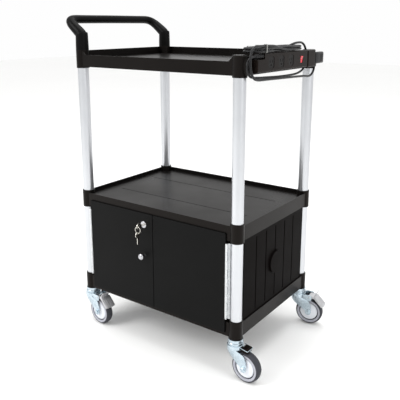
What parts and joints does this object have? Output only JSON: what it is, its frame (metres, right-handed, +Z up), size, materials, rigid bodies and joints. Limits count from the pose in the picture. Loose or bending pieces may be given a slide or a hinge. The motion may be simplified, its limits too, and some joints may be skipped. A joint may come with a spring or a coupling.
{
  "type": "housekeeping cart",
  "caption": "Two-tray utility cart on swivel casters with a lockable cabinet, a push handle at one end and a power strip at the other.",
  "frame": {"origin": "on the floor, under the middle of the cart's outline", "axes": "+X towards the power strip end, -X towards the push handle, -Y towards the doors, +Z up"},
  "size_m": [0.8223, 0.5462, 1.1275],
  "materials": {
    "moulded_black": "black polypropylene, fine moulded grain",
    "handle_black": "black polypropylene, satin",
    "panel_black": "black moulded panel",
    "door_black": "black powder coat, fine texture",
    "tube_aluminium": "satin anodised tube",
    "hinge_steel": "bright zinc plated steel",
    "chrome": "chrome plated",
    "key_nickel": "nickel plated",
    "catch_plastic": "brown plastic",
    "strip_black": "black ABS, satin",
    "outlet_black": "dark outlet insert",
    "rocker_red": "translucent red rocker",
    "cord_black": "black PVC cord and plug",
    "tie_plastic": "natural nylon cable tie",
    "caster_zinc": "bright zinc plated pressed steel",
    "brake_zinc": "zinc plated pressed steel",
    "wheel_core": "light grey polypropylene wheel core",
    "tyre_grey": "dark grey thermoplastic rubber"
  },
  "bodies": {
    "cart": {"back_panel": "panel_black", "bottom_shelf": "moulded_black", "caster_stems": "caster_zinc", "cord_hank": "cord_black", "cord_lead_back": "cord_black", "cord_lead_out": "cord_black", "cord_relief": "cord_black", "cord_tie": "tie_plastic", "corner_caps": "moulded_black", "door_stiles": "panel_black", "hinge_frame_leaves": "hinge_steel", "hinge_pins": "hinge_steel", "hinge_screws": "hinge_steel", "left_end_panel": "panel_black", "lower_posts": "tube_aluminium", "magnet_catch": "catch_plastic", "middle_shelf": "moulded_black", "outlet_faces": "outlet_black", "plug": "cord_black", "plug_holder": "strip_black", "push_handle": "handle_black", "right_end_panel": "panel_black", "strip_bracket": "strip_black", "strip_housing": "strip_black", "top_tray": "moulded_black", "upper_posts": "tube_aluminium"},
    "left_door_body": {"left_door": "door_black", "left_hinge_leaf": "hinge_steel", "lock_housing": "chrome", "lock_nut": "chrome", "door_knob": "chrome", "knob_screw": "chrome"},
    "lock_turning": {"lock_core": "chrome", "lock_cam": "chrome", "lock_key": "key_nickel"},
    "hanging_keys": {"key_ring": "key_nickel", "spare_key": "key_nickel"},
    "right_door_body": {"right_door": "door_black", "right_hinge_leaf": "hinge_steel", "catch_strike": "hinge_steel"},
    "switch": {"rocker_switch": "rocker_red"},
    "front_left_swivel": {"front_left_fork": "caster_zinc", "front_left_axle": "caster_zinc"},
    "front_left_rolling": {"front_left_wheel": "wheel_core", "front_left_tyre": "tyre_grey"},
    "front_left_brake": {"front_left_brake_pedal": "brake_zinc"},
    "front_right_swivel": {"front_right_fork": "caster_zinc", "front_right_axle": "caster_zinc"},
    "front_right_rolling": {"front_right_wheel": "wheel_core", "front_right_tyre": "tyre_grey"},
    "back_right_swivel": {"back_right_fork": "caster_zinc", "back_right_axle": "caster_zinc"},
    "back_right_rolling": {"back_right_wheel": "wheel_core", "back_right_tyre": "tyre_grey"},
    "back_right_brake": {"back_right_brake_pedal": "brake_zinc"},
    "back_left_swivel": {"back_left_fork": "caster_zinc", "back_left_axle": "caster_zinc"},
    "back_left_rolling": {"back_left_wheel": "wheel_core", "back_left_tyre": "tyre_grey"}
  },
  "joints": [
    {"name": "left_door_hinge", "type": "hinge", "parent": "cart", "child": "left_door_body", "pos_m": [-0.30325, -0.2313, 0.325], "axis": [0, 0, -1], "range_deg": [0, 160]},
    {"name": "right_door_hinge", "type": "hinge", "parent": "cart", "child": "right_door_body", "pos_m": [0.28375, -0.2313, 0.325], "axis": [0, 0, 1], "range_deg": [0, 160]},
    {"name": "lock_turn", "type": "hinge", "parent": "left_door_body", "child": "lock_turning", "pos_m": [-0.04775, -0.2336, 0.443], "axis": [0, -1, 0], "range_deg": [0, 90]},
    {"name": "keys_swing", "type": "hinge", "parent": "lock_turning", "child": "hanging_keys", "pos_m": [-0.04775, -0.2621, 0.443], "axis": [0, 1, 0], "range_deg": [-45, 45]},
    {"name": "rocker_tilt", "type": "hinge", "parent": "cart", "child": "switch", "pos_m": [0.35025, 0.0897, 0.988], "axis": [0, 1, 0], "range_deg": [-16, 0]},
    {"name": "front_left_swivel_turn", "type": "hinge", "parent": "cart", "child": "front_left_swivel", "pos_m": [-0.32725, -0.2103, 0.125], "axis": [0, 0, 1], "continuous": true},
    {"name": "front_left_wheel_roll", "type": "hinge", "parent": "front_left_swivel", "child": "front_left_rolling", "pos_m": [-0.28342, -0.21413, 0.05], "axis": [0.0872, 0.9962, 0], "continuous": true},
    {"name": "front_left_brake_press", "type": "hinge", "parent": "front_left_swivel", "child": "front_left_brake", "pos_m": [-0.28142, -0.21431, 0.1095], "axis": [0.0872, 0.9962, 0], "range_deg": [0, 8]},
    {"name": "front_right_swivel_turn", "type": "hinge", "parent": "cart", "child": "front_right_swivel", "pos_m": [0.30775, -0.2103, 0.125], "axis": [0, 0, 1], "continuous": true},
    {"name": "front_right_wheel_roll", "type": "hinge", "parent": "front_right_swivel", "child": "front_right_rolling", "pos_m": [0.35169, -0.2126, 0.05], "axis": [0.0523, 0.9986, 0], "continuous": true},
    {"name": "back_right_swivel_turn", "type": "hinge", "parent": "cart", "child": "back_right_swivel", "pos_m": [0.30775, 0.2347, 0.125], "axis": [0, 0, 1], "continuous": true},
    {"name": "back_right_wheel_roll", "type": "hinge", "parent": "back_right_swivel", "child": "back_right_rolling", "pos_m": [0.35121, 0.24158, 0.05], "axis": [-0.1564, 0.9877, 0], "continuous": true},
    {"name": "back_right_brake_press", "type": "hinge", "parent": "back_right_swivel", "child": "back_right_brake", "pos_m": [0.35318, 0.2419, 0.1095], "axis": [-0.1564, 0.9877, 0], "range_deg": [0, 8]},
    {"name": "back_left_swivel_turn", "type": "hinge", "parent": "cart", "child": "back_left_swivel", "pos_m": [-0.32725, 0.2347, 0.125], "axis": [0, 0, 1], "continuous": true},
    {"name": "back_left_wheel_roll", "type": "hinge", "parent": "back_left_swivel", "child": "back_left_rolling", "pos_m": [-0.28336, 0.23777, 0.05], "axis": [-0.0698, 0.9976, 0], "continuous": true}
  ]
}
